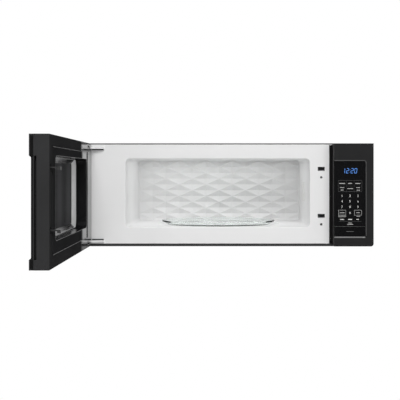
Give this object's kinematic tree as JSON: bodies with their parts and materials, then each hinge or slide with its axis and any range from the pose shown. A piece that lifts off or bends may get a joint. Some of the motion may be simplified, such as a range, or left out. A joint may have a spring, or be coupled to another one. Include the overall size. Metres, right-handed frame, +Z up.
{
  "type": "over-the-range microwave",
  "caption": "Low-profile wall-hung microwave oven and range hood with side-hinged door, turntable, vent blower and filters.",
  "frame": {"origin": "centre of the back of the wall plate, where it meets the wall", "axes": "+X to the right seen from the front, -Y out of the front, +Z up"},
  "size_m": [0.759, 1.0783, 0.2604],
  "materials": {
    "black_paint": "satin black powder coat on sheet steel",
    "zinc_steel": "bright galvanised sheet",
    "white_enamel": "smooth white baked enamel",
    "door_black": "semi-gloss black moulded frame",
    "inner_black": "semi-gloss black inner cover",
    "soft_black": "matte black plastic",
    "dark_glass": "polished black glass",
    "pan_black": "gloss black enamel on drawn steel, perforated floor",
    "clear_sheet": "matte film over the window screen",
    "tray_glass": "clear heat-proof glass",
    "bracket_white": "white painted steel",
    "pin_steel": "turned steel",
    "latch_plastic": "black acetal",
    "grey_plastic": "grey plastic",
    "display_blue": "lit blue figures of the clock",
    "pale_plastic": "heat-proof pale plastic",
    "board_green": "lacquered circuit board",
    "filter_mesh": "aluminium frame and mesh",
    "lens_frost": "frosted glass",
    "core_iron": "laminated iron, varnished",
    "copper": "enamelled copper wire",
    "tube_aluminium": "cast and sheet aluminium",
    "mica": "mica sheet",
    "gland_rubber": "moulded rubber"
  },
  "bodies": {
    "case": {"outer_wrapper": "black_paint", "rear_plate": "zinc_steel", "wall_plate": "zinc_steel", "base_pan": "black_paint", "front_frame": "white_enamel", "cavity_liner": "white_enamel", "turntable_well": "white_enamel", "hinge_brackets": "bracket_white", "hinge_pins": "pin_steel", "control_housing": "door_black", "touch_panel": "dark_glass", "lower_trim": "dark_glass", "display_module": "display_blue", "control_board": "board_green", "finger_strip": "soft_black", "latch_block": "grey_plastic", "door_switches": "grey_plastic", "turntable_motor": "zinc_steel", "filter_rails": "zinc_steel", "lamp_housings": "zinc_steel", "hood_lamps": "pale_plastic", "blower_scrolls": "zinc_steel", "blower_motor": "zinc_steel", "exhaust_duct": "zinc_steel", "damper_frame": "zinc_steel", "wave_cover": "mica", "wave_guide": "zinc_steel", "magnetron": "tube_aluminium", "transformer_core": "core_iron", "transformer_windings": "copper", "capacitor": "tube_aluminium", "fan_housing": "zinc_steel", "fan_motor": "core_iron", "cord_gland": "gland_rubber", "cavity_lamp": "pale_plastic"},
    "door": {"door_frame": "door_black", "door_glass": "dark_glass", "grip_channel": "soft_black", "choke_cover": "inner_black", "door_pan": "pan_black", "inner_window": "clear_sheet", "hinge_bosses": "soft_black", "latch_guide": "soft_black"},
    "latch": {"latch_hooks": "latch_plastic"},
    "coupler": {"drive_coupler": "pale_plastic"},
    "tray": {"glass_tray": "tray_glass"},
    "ring": {"roller_ring": "pale_plastic"},
    "roller_1": {"roller_1": "pale_plastic"},
    "roller_2": {"roller_2": "pale_plastic"},
    "roller_3": {"roller_3": "pale_plastic"},
    "filter_left": {"grease_filter_left": "filter_mesh"},
    "filter_right": {"grease_filter_right": "filter_mesh"},
    "lens_left": {"lamp_lens_left": "lens_frost"},
    "lens_right": {"lamp_lens_right": "lens_frost"},
    "blower": {"blower_wheels": "soft_black"},
    "flap": {"damper_flap": "tube_aluminium"},
    "fan": {"fan_blade": "grey_plastic"}
  },
  "joints": [
    {"name": "door_hinge", "type": "hinge", "parent": "case", "child": "door", "pos_m": [-0.3525, -0.4548, 0], "axis": [0, 0, 1], "range_deg": [-6, 89]},
    {"name": "latch_lift", "type": "slide", "parent": "door", "child": "latch", "axis": [0, 0, 1], "range_m": [0, 0.0024], "stiffness_N_per_m": 300, "springref_m": -0.004},
    {"name": "turntable_spin", "type": "hinge", "parent": "case", "child": "coupler", "pos_m": [-0.0095, -0.2395, -0.09018], "axis": [0, 0, 1], "continuous": true},
    {"name": "tray_lift", "type": "slide", "parent": "coupler", "child": "tray", "axis": [0, 0, 1], "range_m": [0, 0.02]},
    {"name": "ring_spin", "type": "hinge", "parent": "case", "child": "ring", "pos_m": [-0.0095, -0.2395, -0.09087], "axis": [0, 0, 1], "continuous": true},
    {"name": "roller_1_spin", "type": "hinge", "parent": "ring", "child": "roller_1", "pos_m": [0.0885, -0.2395, -0.09087], "axis": [1, 0, 0], "continuous": true},
    {"name": "roller_2_spin", "type": "hinge", "parent": "ring", "child": "roller_2", "pos_m": [-0.0585, -0.15463, -0.09087], "axis": [-0.5, 0.866, 0], "continuous": true},
    {"name": "roller_3_spin", "type": "hinge", "parent": "ring", "child": "roller_3", "pos_m": [-0.0585, -0.32437, -0.09087], "axis": [-0.5, -0.866, 0], "continuous": true},
    {"name": "filter_left_drop", "type": "slide", "parent": "case", "child": "filter_left", "axis": [0, 0, -1], "range_m": [0, 0.06]},
    {"name": "filter_right_drop", "type": "slide", "parent": "case", "child": "filter_right", "axis": [0, 0, -1], "range_m": [0, 0.06]},
    {"name": "lens_left_hinge", "type": "hinge", "parent": "case", "child": "lens_left", "pos_m": [-0.15, -0.3275, -0.12757], "axis": [1, 0, 0], "range_deg": [0, 75]},
    {"name": "lens_right_hinge", "type": "hinge", "parent": "case", "child": "lens_right", "pos_m": [0.15, -0.3275, -0.12757], "axis": [1, 0, 0], "range_deg": [0, 75]},
    {"name": "blower_spin", "type": "hinge", "parent": "case", "child": "blower", "pos_m": [-0.3105, -0.2245, -0.03818], "axis": [0, 1, 0], "continuous": true},
    {"name": "flap_hinge", "type": "hinge", "parent": "case", "child": "flap", "pos_m": [0, -0.0902, 0.12118], "axis": [1, 0, 0], "range_deg": [0, 75]},
    {"name": "fan_spin", "type": "hinge", "parent": "case", "child": "fan", "pos_m": [0.296, -0.0462, 0.03782], "axis": [0, 1, 0], "continuous": true}
  ],
  "couplings": [
    {"joint": "ring_spin", "follows": "turntable_spin", "ratio": 0.5},
    {"joint": "roller_1_spin", "follows": "turntable_spin", "ratio": -7},
    {"joint": "roller_2_spin", "follows": "turntable_spin", "ratio": -7},
    {"joint": "roller_3_spin", "follows": "turntable_spin", "ratio": -7}
  ]
}
